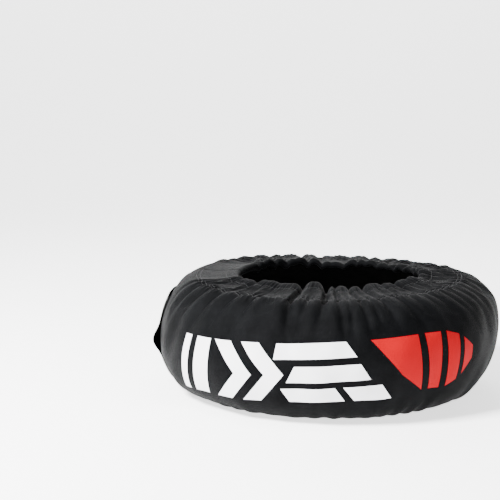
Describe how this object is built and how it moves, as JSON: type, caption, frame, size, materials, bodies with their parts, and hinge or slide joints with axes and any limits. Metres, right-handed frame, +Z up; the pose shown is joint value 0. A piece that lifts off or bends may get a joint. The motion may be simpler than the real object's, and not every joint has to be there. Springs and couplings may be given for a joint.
{
  "type": "motorcycle tire warmer",
  "caption": "Padded, electrically heated strip closed into a ring, with gathered elastic skirts, lying flat on the floor.",
  "frame": {"origin": "centre of the ring on the floor, under the lower skirt", "axes": "+Z up along the ring's axis; -Y is the printed front of the band"},
  "size_m": [0.6448, 0.6245, 0.2203],
  "materials": {
    "cover_cloth": "charcoal black woven polyester, slightly satin",
    "skirt_cloth": "charcoal black woven polyester, gathered",
    "lining_cloth": "black heat resistant cloth",
    "felt": "off-white needled felt",
    "carbon_tape": "woven carbon fibre heating tape",
    "elastic": "black woven elastic",
    "hook_and_loop": "black hook and loop tape",
    "binding_tape": "black grosgrain binding tape",
    "phenolic_case": "dark brown phenolic",
    "tinned_metal": "tinned brass",
    "wire_sleeve": "black silicone sleeve",
    "black_rubber": "black moulded rubber"
  },
  "bodies": {
    "root": {"cover_band": "cover_cloth", "upper_skirt": "skirt_cloth", "lower_skirt": "skirt_cloth", "upper_elastic": "elastic", "lower_elastic": "elastic", "felt_padding": "felt", "heating_tape": "carbon_tape", "inner_lining": "lining_cloth", "closure_flap": "cover_cloth", "closure_hook_tape": "hook_and_loop", "closure_loop_tape": "hook_and_loop", "upper_hem_tab": "hook_and_loop", "upper_hem_loop_patch": "hook_and_loop", "lower_hem_tab": "hook_and_loop", "lower_hem_loop_patch": "hook_and_loop", "end_binding_1": "binding_tape", "end_binding_2": "binding_tape", "thermostat": "phenolic_case", "thermal_fuse": "tinned_metal", "supply_crimp_1": "tinned_metal", "supply_crimp_2": "tinned_metal", "jumper_wire_1": "wire_sleeve", "jumper_wire_2": "wire_sleeve", "jumper_wire_3": "wire_sleeve", "lead_grommet": "black_rubber"}
  },
  "joints": []
}
